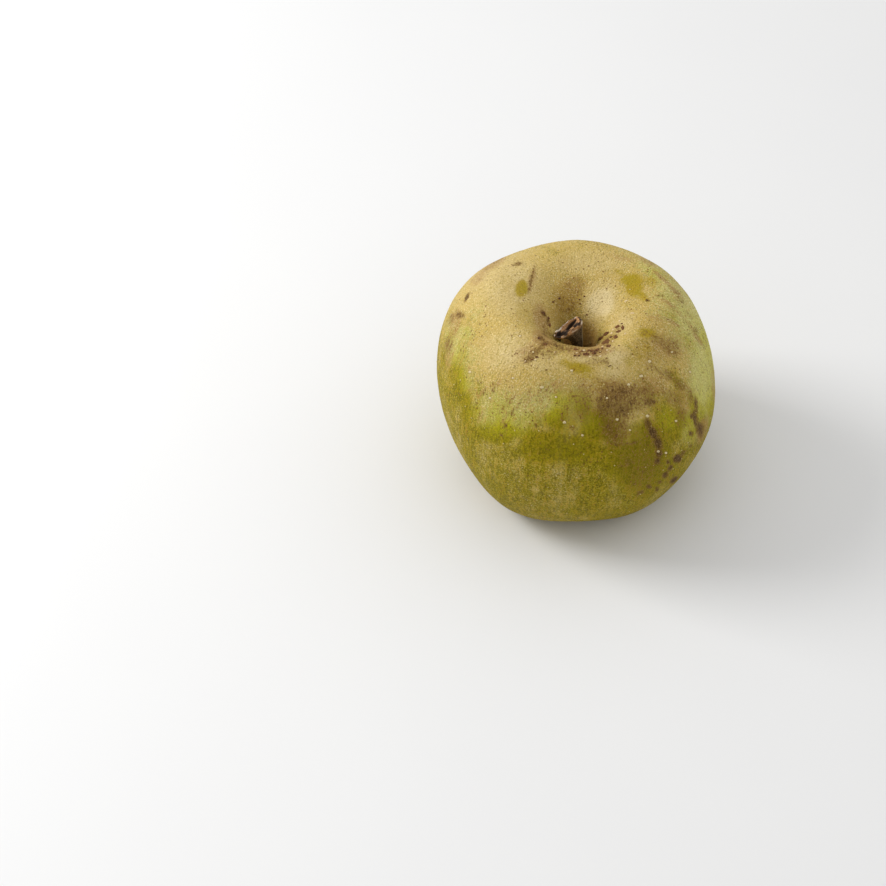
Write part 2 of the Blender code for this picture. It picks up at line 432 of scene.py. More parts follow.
class Skin:
    """The skin's mesh, and the places and directions on it that marks need."""

    def __init__(self):
        self.mesh = closed_mesh("skin", SKIN_LAYOUT, skin_place)
        points = points_of(self.mesh)
        normals = np.empty(points.size)
        self.mesh.vertex_normals.foreach_get("vector", normals)
        swell = roughened(points, SWELL_MM, 1) * SWELL_RISE_MM
        swell += roughened(points, DIMPLE_MM, 2) * DIMPLE_RISE_MM
        sunk = (swell - SWELL_RISE_MM - DIMPLE_RISE_MM) * MM
        self.points = points + normals.reshape(-1, 3) * sunk[:, None]
        self.mesh.vertices.foreach_set("co", self.points.ravel())
        self.mesh.update()
        self.mesh.shade_smooth()
        grown = bmesh.new()
        grown.from_mesh(self.mesh)
        self.tree = BVHTree.FromBMesh(grown)
        grown.free()
        self.columns, self.rows = pixels_of(self.points)

    def seen_at(self, column, row):
        """The place and the normal of the skin where the photograph's pixel sees it."""
        place, normal, _, _ = self.tree.ray_cast(CAMERA_PLACE, pixel_ray(column, row))
        if place is None:
            raise ValueError(f"pixel {column}, {row} is off the fruit")
        return place, normal

    def beside(self, place, normal, column, row, reach):
        """Where a pixel's ray meets the plane that touches the skin at a place, within a reach."""
        ray = pixel_ray(column, row)
        aside = CAMERA_PLACE + ray * ((place - CAMERA_PLACE).dot(normal) / ray.dot(normal)) - place
        return place + aside * min(1.0, reach / max(aside.length, reach / 10))

    def raised(self, place, height):
        """The skin's point nearest a place, raised from the skin by a height."""
        near, normal, _, _ = self.tree.find_nearest(place)
        return near + normal * height


def oval_distance(columns, rows, column, row, half_width, half_height, turn):
    """How far pixels are from the middle of a turned oval, whose edge is at 1."""
    cos, sin = math.cos(math.radians(turn)), math.sin(math.radians(turn))
    aside, above = columns - column, row - rows
    along, across = aside * cos + above * sin, above * cos - aside * sin
    return np.sqrt((along / half_width) ** 2 + (across / half_height) ** 2)


def marks_on(skin, marks):
    """How strongly soft marks cover each point of the skin, on the side that the photograph shows."""
    cover = np.zeros(len(skin.points))
    for column, row, half_width, half_height, turn, strength in marks:
        place, _ = skin.seen_at(column, row)
        seen = oval_distance(skin.columns, skin.rows, column, row, half_width, half_height, turn)
        apart = np.linalg.norm(skin.points - np.array(place), axis=1) / MM * PIXELS_PER_MM
        distance = np.maximum(seen, apart / (MARK_DEPTH * max(half_width, half_height)))
        cover = np.maximum(cover, (1 - fade(distance, *MARK_EDGE)) * strength)
    return cover


# How far a mark reaches along the skin, and between which shares of its size its edge is soft.
MARK_DEPTH = 1.9
MARK_EDGE = 0.42, 1.52
# Soft marks: pixel, half width and height in pixels, turn in degrees, strength.
# Brown russet and marks; the one at 566, 304 on the cavity's left wall and the broad one at 642, 456 low
# on the front are painted shade.
BROWN_AND_SHADE_MARKS = (
    (618, 402, 27, 20, 5, 0.74), (606, 386, 20, 9, 0, 0.36), (578, 394, 9, 18, -18, 0.34),
    (566, 410, 5, 12, -20, 0.34), (545, 392, 5, 14, -40, 0.3), (524, 398, 4, 14, -45, 0.28),
    (506, 404, 4, 14, -48, 0.28), (650, 402, 6, 3.5, 20, 0.8), (616, 424, 16, 26, 0, 0.55),
    (640, 398, 18, 14, 0, 0.48), (584, 402, 12, 20, -15, 0.4), (642, 456, 28, 34, 0, 0.34),
    (672, 398, 14, 7, -35, 0.34), (682, 418, 7, 14, 10, 0.34), (566, 304, 12, 14, 0, 0.34),
    (575, 288, 12, 10, 0, 0.24), (626, 444, 10, 3, 10, 0.55), (616.7, 445.5, 2, 1.5, 0, 0.9),
    (635, 442, 3.5, 2, 20, 0.8), (648, 424, 4, 6, 20, 0.85), (653, 433, 4.5, 7, 25, 1),
    (658, 443, 4.5, 7, 20, 1), (659, 453, 3.5, 6, 0, 0.95), (657.4, 461, 3.5, 3.5, 0, 0.9),
    (677.4, 458.6, 5, 4, 40, 1.05), (683, 453, 4, 2, 50, 0.75), (668, 462, 2.2, 2.2, 0, 0.95),
    (670, 468, 4, 2.2, 55, 0.85), (665, 475, 4, 3, 60, 0.95), (673.9, 480, 5, 2.6, 40, 0.95),
    (660, 482, 3, 2, 30, 0.7), (648.9, 486.9, 3, 2, 0, 0.95), (657, 489.3, 1.8, 3, 0, 0.9),
    (640, 493, 5, 2, 30, 0.6), (634, 484, 3, 1.2, 30, 0.6), (629, 462, 5, 4, 0, 0.6),
    (622, 466, 4, 2, 0, 0.45), (645, 471, 4, 2, 30, 0.5), (696, 404, 2.2, 9, 5, 0.8),
    (695, 418, 2.6, 9, 5, 0.9), (691, 416, 1.6, 4, 0, 0.8), (691, 433.6, 3, 3, 0, 0.9),
    (699.6, 429, 4.5, 9, 10, 0.75), (690.5, 446, 2.5, 2, 0, 0.7), (652, 368, 9, 5, -20, 0.36),
    (666, 375, 11, 5, -30, 0.42), (681, 385, 8, 5, -45, 0.4), (690, 394, 4, 8, 10, 0.4),
    (660, 340, 12, 6, -15, 0.4), (672, 346, 12, 9, -20, 0.42), (645, 333, 5, 3, 0, 0.5),
    (675, 352.5, 1.8, 1.4, 0, 0.8), (647.5, 300.3, 1.9, 1.5, 0, 1.05), (661, 295.6, 5, 2, 10, 0.5),
    (677, 293, 4, 1.6, -40, 0.4), (681, 300, 5, 2, -50, 0.45), (687, 314, 5, 2, -20, 0.25),
    (696, 330, 4, 2.5, -50, 0.48), (688.5, 334.5, 2.5, 2, 0, 0.5), (580, 412, 9, 12, 0, 0.38),
    (587, 397, 13, 9, 0, 0.36), (573, 428, 4, 3, 0, 0.5), (467, 297, 1.7, 5, -28, 1),
    (460, 315, 6, 3.6, -10, 0.72), (451, 319, 3, 7, -20, 0.45), (449, 345, 5, 9, 0, 0.4),
    (491.6, 384.4, 2, 1.4, 45, 0.9), (493, 391, 2.6, 2, 20, 0.8), (483.3, 394, 1.8, 1.2, 20, 0.8),
    (505.4, 425.6, 2, 2.6, 0, 0.85), (513, 413, 2, 4, -25, 0.65), (535.4, 425.4, 1.4, 1.6, 0, 0.85),
    (502.3, 434.5, 2.4, 1.4, 0, 0.85), (529, 359, 7, 4, 35, 0.6), (536, 352.5, 11, 4.2, 42, 0.62),
    (545, 343.5, 5, 3, 20, 0.78), (556, 344, 9, 2.8, -8, 0.62), (541, 338, 4.5, 3, -30, 0.62),
    (543.5, 313.5, 2.2, 4.5, 35, 0.75), (547.8, 322, 1.8, 5, 8, 0.72), (544, 326, 2.4, 2.4, 0, 0.55),
    (533.4, 271, 1.3, 6, -13, 0.62), (531, 280, 1.5, 8, -13, 0.8), (528.9, 290, 1.4, 4, -13, 0.6),
    (517.9, 264.1, 6, 2, 10, 0.62), (495, 262, 14, 2.2, 38, 0.35), (592, 352, 22, 6, 5, 0.4),
    (566, 348, 16, 5, -6, 0.6), (548, 336, 9, 9, 0, 0.5), (552, 352, 14, 5, 10, 0.5),
    (598, 362, 14, 5, 0, 0.4), (608, 341, 13, 5, 38, 0.5), (617, 329, 7, 4, 35, 0.4),
    (606, 362, 5, 4, 0, 0.55),
)
GOLD_MARKS = (
    (521.6, 288.8, 6, 8.6, -8, 1.3), (632, 280, 12, 6.5, 0, 1.1), (634, 288, 9, 8, -20, 1.2),
    (642, 296, 9, 4.5, -35, 0.8), (652, 282, 7, 5, -20, 0.5), (620, 272, 6, 3, -20, 0.6),
    (579, 368, 13, 5.6, -8, 1.05), (566, 363.5, 8, 4, -15, 0.75), (588, 376, 9, 5, -10, 0.45),
    (647, 333, 9, 5, 0, 1.05), (629, 361, 5, 6, 30, 0.55), (646, 349, 8, 4, 0, 0.4),
    (641, 357, 5, 3, 20, 0.45), (621, 273, 5, 3, 0, 0.4), (524, 310, 10, 9, 0, 0.34),
    (602, 388, 8, 6, 0, 0.3),
)
GREEN_MARKS = (
    (594, 424, 22, 17, 0, 1), (566, 420, 24, 15, 0, 0.85), (576, 404, 18, 15, 0, 0.9),
    (560, 447, 40, 16, 0, 0.9), (640, 462, 30, 26, 0, 1), (645, 440, 18, 18, 0, 1),
    (604, 408, 12, 12, 0, 0.5), (565, 404, 8, 20, -10, 0.45), (668, 425, 14, 18, 0, 0.4),
    (500, 434, 26, 9, 0, 0.5), (464, 396, 8, 24, 10, 0.4), (564, 398, 12, 10, 0, 0.6),
)
# Lime-green skin. A mark stronger than 0.75, chiefly along the right edge, also paints a pale sheen.
LIME_AND_SHEEN_MARKS = (
    (704, 370, 16, 48, 0, 1.25), (690, 318, 18, 32, 25, 1.3), (674, 292, 24, 18, -45, 1.05),
    (655, 270, 20, 10, -30, 0.95), (682, 334, 16, 18, 30, 0.7), (660, 300, 14, 10, -30, 0.8),
    (652, 314, 12, 8, -20, 0.4), (692, 425, 10, 18, -15, 0.8), (466, 352, 12, 22, 5, 0.55),
    (655, 268, 20, 8, -30, 0.75), (625, 253, 16, 4, -15, 0.55), (668, 315, 14, 9, -30, 0.8),
    (668, 418, 10, 13, 15, 0.45), (454, 344, 8, 22, 5, 0.9), (464, 333, 10, 9, 0, 0.85),
    (472, 352, 10, 12, 0, 0.7), (476, 312, 9, 10, 0, 0.5), (484, 303, 9, 8, 0, 0.4),
    (466, 376, 8, 18, 10, 0.55), (508, 410, 32, 24, 0, 0.88), (484, 398, 10, 18, 10, 0.4),
    (545, 400, 24, 20, 0, 0.92), (574, 396, 16, 14, 0, 0.5), (588, 424, 14, 9, 0, 0.16),
    (558, 412, 14, 8, 0, 0.24), (552, 380, 12, 7, 0, 0.35),
)
# Golden-brown russet. The first three marks, on the cavity's left wall, are painted shade.
HONEY_AND_SHADE_MARKS = (
    (567, 300, 15, 17, 0, 1.15), (558, 314, 10, 12, 0, 0.8), (574, 284, 13, 9, 0, 0.45),
    (604, 388, 22, 10, 0, 0.5), (650, 350, 18, 13, 0, 0.7), (664, 344, 12, 10, 0, 0.5),
    (652, 325, 14, 9, -15, 0.4), (562, 388, 16, 8, 0, 0.4), (650, 385, 16, 10, 0, 0.45),
    (680, 400, 12, 16, 0, 0.35),
)
# Tan russet. A mark stronger than 0.75 also adds a painted cream highlight, as on the cavity's right wall
# and the front left.
TAN_AND_HIGHLIGHT_MARKS = (
    (600, 302, 16, 20, -25, 1.1), (505, 285, 38, 30, 20, 0.7), (603, 303, 14, 16, -20, 1.2),
    (500, 262, 16, 9, 38, 0.45), (622, 322, 12, 12, 0, 0.7), (616, 358, 13, 13, 0, 0.9),
    (612, 372, 16, 8, 0, 0.6), (507, 350, 26, 20, 10, 0.8), (545, 362, 22, 10, 0, 0.5),
    (588, 358, 20, 6, 0, 0.6), (492, 272, 30, 14, 40, 0.5), (590, 262, 40, 12, 0, 0.45),
)
# Pinkish brown haze, where russet is thin and warm.
HAZE_MARKS = (
    (662, 278, 12, 2.2, -40, 0.8), (674, 290, 12, 2.2, -42, 0.85), (668, 303, 11, 2, -35, 0.75),
    (690, 326, 11, 2, -50, 0.55), (698, 339, 9, 2.2, -55, 0.9), (681, 315, 11, 1.8, -40, 0.45),
    (648, 262, 11, 3, -25, 0.65), (672, 322, 12, 2.2, -30, 0.7), (655, 318, 12, 2.6, -20, 0.55),
    (622, 258, 14, 3, -12, 0.55), (482, 392, 9, 2.6, 50, 0.6), (497, 384, 10, 2.4, 48, 0.55),
    (513, 398, 12, 2.6, 50, 0.6), (505, 418, 10, 2.6, 55, 0.6), (528, 402, 12, 2.6, 58, 0.6),
    (542, 412, 10, 2.4, 65, 0.55), (480, 418, 8, 2.6, 60, 0.6), (470, 390, 7, 2.4, 55, 0.5),
    (494, 262, 22, 6, 38, 0.8), (478, 278, 12, 6, 42, 0.55), (541, 318, 8, 16, 15, 0.8),
    (543, 338, 12, 10, -20, 0.95), (532, 279, 4, 16, -13, 0.6), (530, 350, 16, 8, 30, 0.6),
    (590, 350, 24, 7, 3, 0.9), (570, 345, 14, 6, -8, 0.7), (575, 285, 16, 10, 0, 0.45),
    (455, 325, 6, 18, -10, 0.7), (449, 352, 5, 18, 0, 0.6), (582, 392, 9, 16, -15, 0.4),
    (556, 384, 12, 8, 0, 0.45), (618, 392, 26, 14, 0, 0.6), (668, 350, 18, 12, -20, 0.5),
    (652, 384, 20, 12, 0, 0.5), (714, 385, 3, 20, 5, 0.6), (702, 430, 5, 16, -18, 0.8),
    (684, 400, 10, 14, 0, 0.4),
)
SOFT_MARKS = dict(brown=BROWN_AND_SHADE_MARKS, gold=GOLD_MARKS, green=GREEN_MARKS, lime_and_sheen=LIME_AND_SHEEN_MARKS, tan_and_highlight=TAN_AND_HIGHLIGHT_MARKS)
SOFT_MARKS.update(honey=HONEY_AND_SHADE_MARKS, haze=HAZE_MARKS)

# Scab on the skin: pixel, half width and height in pixels, turn in degrees.
SCAB_FLAKES = (
    (575.6, 349.4, 2.2, 0.9, 0), (575, 355.6, 1.8, 0.8, 0), (578.9, 355.6, 1.1, 0.7, 0),
    (581.7, 351.1, 1.6, 0.7, 10), (586.1, 353.9, 3.4, 1.4, 0), (588.3, 350.6, 1.8, 0.9, 15),
    (592, 350.6, 2.2, 1.3, 20), (594.4, 352.8, 2.4, 1.6, 0), (597.2, 349.4, 2.8, 1.3, 25),
    (600, 351.7, 1.6, 1.1, 0), (602.2, 348.4, 1.3, 1.1, 0), (605.6, 341.7, 4.4, 2.4, 30),
    (608.4, 345.8, 2.6, 1.4, 10), (600.5, 338.3, 3.6, 1.3, 35), (606.2, 333.6, 3.4, 1.6, 35),
    (611, 337, 1.6, 0.9, 30), (615.6, 337, 2.1, 2.1, 45), (617.2, 326.7, 2.6, 1.3, 35),
    (622.6, 327.9, 1.6, 2.4, 0), (618.6, 331.4, 2.6, 1.2, 20), (621.7, 323.6, 1.2, 0.6, 20),
    (606.7, 358.3, 0.8, 0.6, 0), (618.9, 345.6, 0.8, 0.6, 0), (609.5, 366, 1.8, 0.5, 25),
    (559.4, 298.6, 1.3, 1.1, 0), (553.1, 302, 1.1, 0.9, 0), (579.5, 299.5, 1, 0.8, 0),
    (584.4, 296.3, 1, 0.8, 0), (580, 303.6, 1, 0.8, 0), (586.9, 314.8, 1, 1, 0),
    (543.5, 313, 2.2, 0.8, -25), (548.6, 318, 1.6, 0.9, -60), (550, 325, 0.9, 2.2, 0),
    (539, 338, 1.6, 1.1, 0), (545.5, 344, 1.8, 1, 10), (536.7, 357, 1.8, 1, 0),
    (532, 359.5, 1.5, 0.8, 0),
)
# Pale chips of torn skin between the flakes.
PALE_CHIPS = (
    (596.5, 345, 1.7, 0.9, 35), (602.5, 346.5, 1.3, 0.8, 30), (611.5, 333, 1.5, 0.9, 40),
    (613, 329.5, 1.6, 0.8, 35), (619.5, 320.8, 1.4, 0.8, 20), (584, 350.3, 1.5, 0.7, 0),
    (590, 356.6, 1.6, 0.8, 10), (600.5, 356, 1.4, 0.8, 20), (607.2, 350, 1.2, 0.8, 10),
    (577, 352.8, 1.4, 0.7, 0), (612.8, 341, 1.2, 0.8, 40), (625.2, 333.5, 1.1, 0.8, 30),
    (535.4, 359.8, 1.2, 0.8, 20), (525, 361.3, 1.2, 0.7, 40), (554.5, 352, 0.9, 0.7, 0),
    (626, 300.9, 2, 0.7, 15), (632.3, 313.1, 1.9, 0.8, 5),
)
# The lenticels that stand out in the photograph: pixel and half width in pixels.
LARGE_LENTICELS = (
    (649.6, 361.4, 1.5), (641.2, 376, 1.6), (628.6, 384.4, 1.3), (647.5, 416, 1.5), (617.1, 419.4, 1.3),
    (564.5, 422.3, 1.4), (571.6, 370.6, 1.2), (541.9, 387.3, 1.7), (582.5, 435.3, 1.1),
    (658.4, 451.4, 1.2), (665.9, 452.9, 1.2), (607, 398, 1), (533, 352, 0.9), (513, 378, 1.1),
    (490, 398, 1.1), (672, 352, 1), (690, 372, 1.1), (676, 421, 1.1), (630, 430, 1), (556, 397, 1),
    (520, 336, 1), (470, 372, 1.2),
)
# The faint brown ring round each: its width, as a share of the lenticel's, and its strength.
LENTICEL_RING = 2.0, 0.5
LENTICEL_OVAL = 0.8

# Plates on the skin: their reach along it in their own sizes, how uneven they are, and their rings, each
# a share of the size and a height over the skin.
PLATE_REACH, UNEVEN = 1.8, 0.2
SUNK = -0.1 * MM
FLAKE_RISE = 0.07 * MM
FLAKE_RINGS = ((1.0, SUNK), (0.96, 0.25 * FLAKE_RISE), (0.84, FLAKE_RISE), (0.45, 0.9 * FLAKE_RISE))
FLAKE = {"spokes": 18, "rings": FLAKE_RINGS, "ragged": 0.2, "grown": 1.05}
LENTICEL_RISE = 0.09 * MM
LENTICEL_RINGS = ((1.0, SUNK), (0.92, 0.4 * LENTICEL_RISE), (0.6, LENTICEL_RISE))
CHIP = {"spokes": 12, "rings": LENTICEL_RINGS, "ragged": 0.25, "grown": 1.0}
LENTICEL = {"spokes": 12, "rings": LENTICEL_RINGS, "ragged": 0.12, "grown": 1.25}


def plates_mesh(name, skin, plates, chance, spokes, rings, ragged, grown):
    """Closed plates that lie on the skin: each has rings of points, and a point above and below."""
    shells = bmesh.new()
    for column, row, half_width, half_height, turn in plates:
        place, normal = skin.seen_at(column, row)
        half_width, half_height = half_width * grown, half_height * grown
        cos, sin = math.cos(math.radians(turn)), math.sin(math.radians(turn))
        limit = PLATE_REACH * max(half_width, half_height) / PIXELS_PER_MM * MM
        edge = [1 + chance.uniform(-ragged, ragged) for _ in range(spokes)]
        hoops = []
        for share, height in rings:
            hoop = []
            for index in range(spokes):
                angle = math.tau * index / spokes
                reach = share * edge[index]
                along, across = half_width * math.cos(angle), half_height * math.sin(angle)
                right, down = along * cos - across * sin, -along * sin - across * cos
                spot = place.lerp(skin.beside(place, normal, column + right, row + down, limit), reach)
                rise = height * (1 + chance.uniform(-UNEVEN, UNEVEN))
                hoop.append(shells.verts.new(skin.raised(spot, rise)))
            hoops.append(hoop)
        peak = shells.verts.new(skin.raised(place, rings[-1][1]))
        root = shells.verts.new(skin.raised(place, 2 * SUNK))
        for index in range(spokes):
            beside = (index + 1) % spokes
            for outer, inner in zip(hoops, hoops[1:]):
                shells.faces.new((outer[index], outer[beside], inner[beside], inner[index]))
            shells.faces.new((hoops[-1][index], hoops[-1][beside], peak))
            shells.faces.new((hoops[0][beside], hoops[0][index], root))
    mesh = bpy.data.meshes.new(name)
    shells.to_mesh(mesh)
    shells.free()
    return facing_out(mesh)


def skin_finish():
    """Olive skin under fine light-brown russet that closes over the shoulders, with painted highlights,
    sheen and shade.
    """
    skin = Finish("reinette_skin", {"Specular IOR Level": 0.06})
    mix, step = skin.mix, skin.step
    brown, gold, green, lime_and_sheen, tan_and_highlight, honey, haze = (skin.attribute(name) for name in SOFT_MARKS)
    level, cavity_russet_and_shade = skin.attribute("level"), skin.attribute("cavity_russet_and_shade")
    flow = skin.attribute("flow", "Vector")

    broad = skin.noise(0.055, 3.0)
    blotch = skin.noise(0.22, 4.0)
    mottle = skin.noise(0.75, 4.0, 0.6)
    streak = skin.noise(0.13, 3.0, 0.6, place=flow)
    crackle = skin.noise(1.35, 2.0, 0.6, place=flow)
    speck = skin.noise(2.5, 2.0, 0.6)
    pore = skin.scatter(0.62, skin.warped(0.3, 0.9))
    grain = skin.noise(1.75, 2.0, 0.65, place=skin.warped(0.1, 1.2))
    grain = (grain - 0.5) * 0.95 + (crackle - 0.5) * 0.75 + 0.5

    # Greener and darker towards the bottom: the skin's own green, with some painted shade.
    leafy = step(level, 1.02, 0.52) * 0.82 + green * 0.5 - tan_and_highlight * 0.45
    leafy = leafy + (broad - 0.5) * 0.9 + (blotch - 0.5) * 0.7 + (streak - 0.5) * 1.5
    leafy = leafy.clamped()
    sap = step(leafy * 0.92 + green * 0.45 - (1 - lime_and_sheen) * 0.1, 0.1, 1.0)
    olive = mix(step(mottle, 0.3, 0.7), (0.48, 0.372, 0.082), (0.59, 0.467, 0.125))
    leaf = mix(step(mottle, 0.3, 0.7), (0.19, 0.158, 0.001), (0.295, 0.246, 0.002))
    ground = mix(step(leafy, 0.0, 0.95), olive, leaf)
    lively = mix(sap, (0.555, 0.56, 0.16), (0.5, 0.48, 0.01))
    # Painted pale sheen where the yellow-green marks along the right edge pass 0.75.
    lively = mix(step(lime_and_sheen, 0.75, 1.35) * 0.65, lively, (0.71, 0.685, 0.24))
    ground = mix((lime_and_sheen * 0.9).clamped(), ground, lively)
    # Paler russet under the pale russet marks; on the cavity's right wall and the front left this is
    # painted highlight.
    russet = mix(tan_and_highlight.clamped(), (0.6, 0.425, 0.112), (0.725, 0.57, 0.268))
    russet = mix(step(blotch, 0.65, 0.3) * 0.5, russet, (0.57, 0.395, 0.11))
    russet = mix(lime_and_sheen.clamped() * 0.6, russet, (0.6, 0.385, 0.13))
    russet = mix(sap, russet, (0.49, 0.325, 0.014))

    bar = leafy * 0.22 + lime_and_sheen * 0.1 - (streak - 0.5) * 0.3 + 0.38
    veil = step(grain - bar, -0.12, 0.12)
    veil = veil * (1 - leafy * 0.2) * (1 - lime_and_sheen * 0.3).clamped() * (1 - green * 0.5)
    thin = step(haze + (grain - 0.5) * 1.1 + (blotch - 0.5) * 0.6, 0.15, 0.85)
    golden = step(gold + (mottle - 0.5) * 0.9 + (grain - 0.5) * 0.7, 0.05, 1.05)
    smoky = brown + (grain - 0.5) * 1.3 + (speck - 0.5) * 0.9
    smoky = smoky + (mottle - 0.5) * 0.7 + (streak - 0.5) * 0.5
    dotted = step(blotch + (streak - 0.5) + lime_and_sheen * 0.09, 0.42, 0.58)
    colour = mix(veil, ground, russet)
    # Layers over the russet, each a cover and a colour.
    for cover, tone in (
        # Golden brown: russet, and painted shade on the cavity's left wall.
        (honey * 0.75, mix(grain, (0.28, 0.16, 0.014), (0.54, 0.35, 0.075))),
        (thin * 0.66, mix(grain, (0.23, 0.1, 0.032), (0.52, 0.3, 0.115))),
        # Dark gaps between the granules: partly the russet's own colour, partly painted shade of its
        # relief.
        (step(grain, 0.52, 0.26) * 0.6, mix(leafy, (0.39, 0.255, 0.07), (0.125, 0.078, 0.003))),
        (step(speck, 0.5, 0.36) * lime_and_sheen.clamped() * 0.45, (0.4, 0.25, 0.06)),
        # Pale specks: partly the russet's own colour, partly painted highlights on the granules.
        (
            step(speck, 0.5, 0.7) * 0.62 * (1 - green * 0.7).clamped(),
            mix(sap, (0.93, 0.77, 0.42), (0.64, 0.52, 0.026)),
        ),
        # Painted cream highlight where the pale russet marks pass 0.75.
        (step(tan_and_highlight, 0.75, 1.2) * 0.35, (0.86, 0.72, 0.43)),
        (golden * 0.85, mix(step(blotch, 0.4, 0.6), (0.4, 0.29, 0.006), (0.43, 0.29, 0.01))),
        (step(smoky, 0.16, 0.7) * 0.8, (0.165, 0.082, 0.016)),
        (step(smoky, 0.62, 1.0) * 0.85, (0.07, 0.034, 0.012)),
        (step(speck, 0.5, 0.64) * step(smoky, 0.15, 0.6) * 0.42, (0.48, 0.3, 0.105)),
        (step(pore, 0.2, 0.11) * dotted * 0.8, (0.19, 0.085, 0.025)),
        # Darker brown deep in the stem cavity and the calyx basin: partly russet, partly painted shade.
        (step(cavity_russet_and_shade, 0.25, 1.0) * 0.72, (0.43, 0.225, 0.066)),
    ):
        colour = mix(cover, colour, tone)

    relief = grain * 0.9 + speck * 0.7 + mottle * 0.3
    rough = (grain * 0.3 + 0.42).clamped()
    return skin.finished(colour, rough, relief, 0.45)


def scab_finish():
    scab = Finish("scab_crust", {"Specular IOR Level": 0.2})
    crumb = scab.noise(3.0, 3.0)
    colour = scab.mix(scab.step(crumb, 0.35, 0.65), (0.045, 0.015, 0.004), (0.23, 0.095, 0.028))
    return scab.finished(colour, crumb * 0.3 + 0.5, crumb, 0.06)


def corky_finish(name, dark, pale):
    cork = Finish(name, {"Specular IOR Level": 0.2})
    crumb = cork.noise(2.4, 2.0)
    colour = cork.mix(cork.step(crumb, 0.3, 0.7), dark, pale)
    return cork.finished(colour, crumb * 0.2 + 0.6, crumb, 0.03)


# The stem cavity and the calyx basin darken towards their depths: partly brown russet, partly painted
# shade.
FUNNEL_TOP, FUNNEL_FOOT, FUNNEL_REACH = 56.5 * MM, 47.0 * MM, 14.0 * MM
BASIN_RUSSET_AND_SHADE, BASIN_REACH = 0.75, (6.0 * MM, 19.0 * MM)
# Streaks follow the flow from stem to calyx, drawn out by one over its stretch.
FLOW_GIRTH_MM, FLOW_LENGTH_MM, FLOW_STRETCH = 39.0, 130.0, 0.35


def flow_of(points):
    """Coordinates in mm that are drawn out from the stem to the calyx."""
    share, azimuth = globe_layout(*SKIN_LAYOUT)
    girth = (np.linalg.norm(points[:, :2], axis=1) / MM + FLOW_GIRTH_MM) / 2
    length = share * FLOW_LENGTH_MM * FLOW_STRETCH
    return np.column_stack((girth * np.cos(azimuth), girth * np.sin(azimuth), length))


def make_fruit():
    """The skin, with what its finish reads at each point."""
    skin = Skin()
    height = skin.points[:, 2]
    set_attribute(skin.mesh, "level", height / height.max())
    aside = np.linalg.norm(skin.points[:, :2] - np.array(CAVITY_OFFSET), axis=1)
    upper = globe_layout(*SKIN_LAYOUT)[0] < CHEEK
    # Painted shade, with some russet, deep in the stem cavity and round the calyx basin below.
    cavity_russet_and_shade = fade(height, FUNNEL_TOP, FUNNEL_FOOT) * (aside < FUNNEL_REACH) * upper
    aside = np.linalg.norm(skin.points - np.array(CALYX_CENTRE), axis=1)
    basin = BASIN_RUSSET_AND_SHADE * (1 - fade(aside, *BASIN_REACH)) * ~upper
    set_attribute(skin.mesh, "cavity_russet_and_shade", cavity_russet_and_shade + basin)
    flow = skin.mesh.attributes.new("flow", "FLOAT_VECTOR", "POINT")
    flow.data.foreach_set("vector", flow_of(skin.points).astype(np.float32).ravel())
    grown, strength = LENTICEL_RING
    rings = tuple((*spot, width * grown, width * grown, 0, strength) for *spot, width in LARGE_LENTICELS)
    for name, marks in {**SOFT_MARKS, "brown": BROWN_AND_SHADE_MARKS + rings}.items():
        set_attribute(skin.mesh, name, marks_on(skin, marks))
    fruit = new_piece("skin", skin.mesh, skin_finish())
    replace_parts(fruit, "fruit")
    return skin


